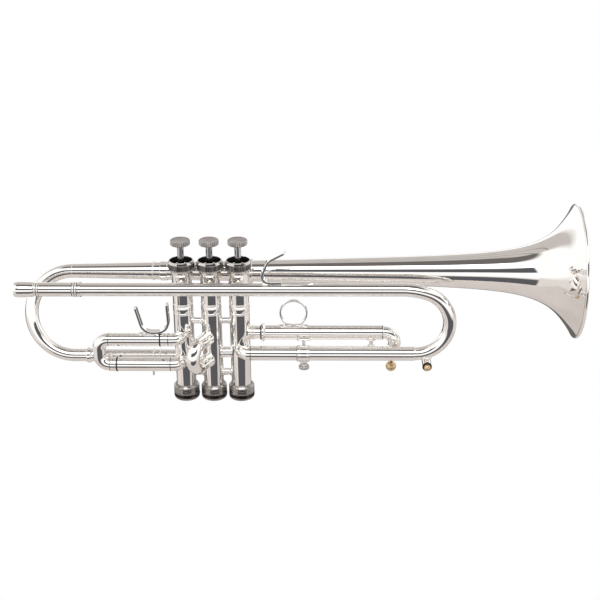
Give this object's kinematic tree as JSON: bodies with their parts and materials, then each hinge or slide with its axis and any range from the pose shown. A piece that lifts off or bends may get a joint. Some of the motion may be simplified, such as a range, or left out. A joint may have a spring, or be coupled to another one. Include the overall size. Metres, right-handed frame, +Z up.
{
  "type": "trumpet",
  "caption": "Silver-plated piston-valve trumpet with a pull-out tuning slide, a thumb-saddle slide, a ringed slide and push-button water keys.",
  "frame": {"origin": "second valve's axis, level with the leadpipe's axis", "axes": "+X along the bell towards its mouth, +Z up the valves towards the buttons, +Y to the player's left"},
  "size_m": [0.5118, 0.1238, 0.1832],
  "materials": {
    "silver_plate": "mirror-polished silver plate",
    "dark_nickel": "smoky polished nickel",
    "grey_stem": "matte grey",
    "piston_metal": "lapped nickel alloy",
    "spring_steel": "bright wire",
    "knurled_silver": "knurled silver plate",
    "brass": "polished brass",
    "black_rubber": "matte",
    "black_felt": "pressed felt"
  },
  "bodies": {
    "horn": {"receiver": "silver_plate", "leadpipe": "silver_plate", "finger_hook": "silver_plate", "bell_flare": "silver_plate", "bell_rim_bead": "silver_plate", "bell_stem": "silver_plate", "bell_bow": "silver_plate", "bell_tail": "silver_plate", "bell_ferrules": "silver_plate", "crossover_tubes": "silver_plate", "casing_braces": "silver_plate", "pipe_posts": "silver_plate", "main_fixed_leg": "silver_plate", "clamp_collar": "silver_plate", "first_top_fixed": "silver_plate", "first_low_fixed": "silver_plate", "second_fixed_legs": "silver_plate", "third_top_fixed": "silver_plate", "third_low_fixed": "silver_plate", "third_guide": "silver_plate", "valve_casing_1": "silver_plate", "valve_casing_2": "silver_plate", "valve_casing_3": "silver_plate", "top_cap_1": "dark_nickel", "top_cap_2": "dark_nickel", "top_cap_3": "dark_nickel", "bottom_caps": "dark_nickel", "cap_felts": "black_felt", "valve_spring_1": "spring_steel", "valve_spring_2": "spring_steel", "valve_spring_3": "spring_steel"},
    "clamp_screw": {"clamp_screw": "knurled_silver"},
    "main_slide": {"main_upper_leg": "silver_plate", "main_bow": "silver_plate", "main_lower_leg": "silver_plate", "main_key_body": "silver_plate"},
    "main_key": {"main_key_button": "brass"},
    "first_slide": {"first_sleeve": "silver_plate", "first_inner_leg": "silver_plate", "first_bow": "silver_plate", "first_bumpers": "black_rubber", "thumb_saddle": "silver_plate"},
    "second_slide": {"second_bow": "silver_plate"},
    "third_slide": {"third_sleeve": "silver_plate", "third_inner_leg": "silver_plate", "third_bow": "silver_plate", "third_bumper": "black_rubber", "finger_ring": "silver_plate", "third_brace": "silver_plate", "third_key_body": "silver_plate"},
    "third_key": {"third_key_ball": "brass"},
    "valve_1": {"piston_1": "piston_metal", "valve_stem_1": "grey_stem", "button_1": "dark_nickel"},
    "valve_2": {"piston_2": "piston_metal", "valve_stem_2": "grey_stem", "button_2": "dark_nickel"},
    "valve_3": {"piston_3": "piston_metal", "valve_stem_3": "grey_stem", "button_3": "dark_nickel"}
  },
  "joints": [
    {"name": "valve_1_press", "type": "slide", "parent": "horn", "child": "valve_1", "axis": [0, 0, -1], "range_m": [0, 0.017], "stiffness_N_per_m": 150, "springref_m": -0.02, "deforming": ["valve_spring_1"]},
    {"name": "valve_2_press", "type": "slide", "parent": "horn", "child": "valve_2", "axis": [0, 0, -1], "range_m": [0, 0.017], "stiffness_N_per_m": 150, "springref_m": -0.02, "deforming": ["valve_spring_2"]},
    {"name": "valve_3_press", "type": "slide", "parent": "horn", "child": "valve_3", "axis": [0, 0, -1], "range_m": [0, 0.017], "stiffness_N_per_m": 150, "springref_m": -0.02, "deforming": ["valve_spring_3"]},
    {"name": "main_slide_pull", "type": "slide", "parent": "horn", "child": "main_slide", "axis": [1, 0, 0], "range_m": [0, 0.025]},
    {"name": "first_slide_pull", "type": "slide", "parent": "horn", "child": "first_slide", "axis": [-1, 0, 0], "range_m": [0, 0.02]},
    {"name": "second_slide_pull", "type": "slide", "parent": "horn", "child": "second_slide", "axis": [-0.4163, -0.9092, 0], "range_m": [0, 0.01]},
    {"name": "third_slide_pull", "type": "slide", "parent": "horn", "child": "third_slide", "axis": [1, 0, 0], "range_m": [0, 0.025]},
    {"name": "main_key_press", "type": "slide", "parent": "main_slide", "child": "main_key", "axis": [0, 1, 0], "range_m": [0, 0.002], "stiffness_N_per_m": 300, "springref_m": -0.003},
    {"name": "third_key_press", "type": "slide", "parent": "third_slide", "child": "third_key", "axis": [0, 0, 1], "range_m": [0, 0.0015], "stiffness_N_per_m": 300, "springref_m": -0.003},
    {"name": "clamp_screw_turn", "type": "hinge", "parent": "horn", "child": "clamp_screw", "pos_m": [0.0855, -0.018, -0.075], "axis": [0, 0, 1], "range_deg": [0, 180]}
  ]
}
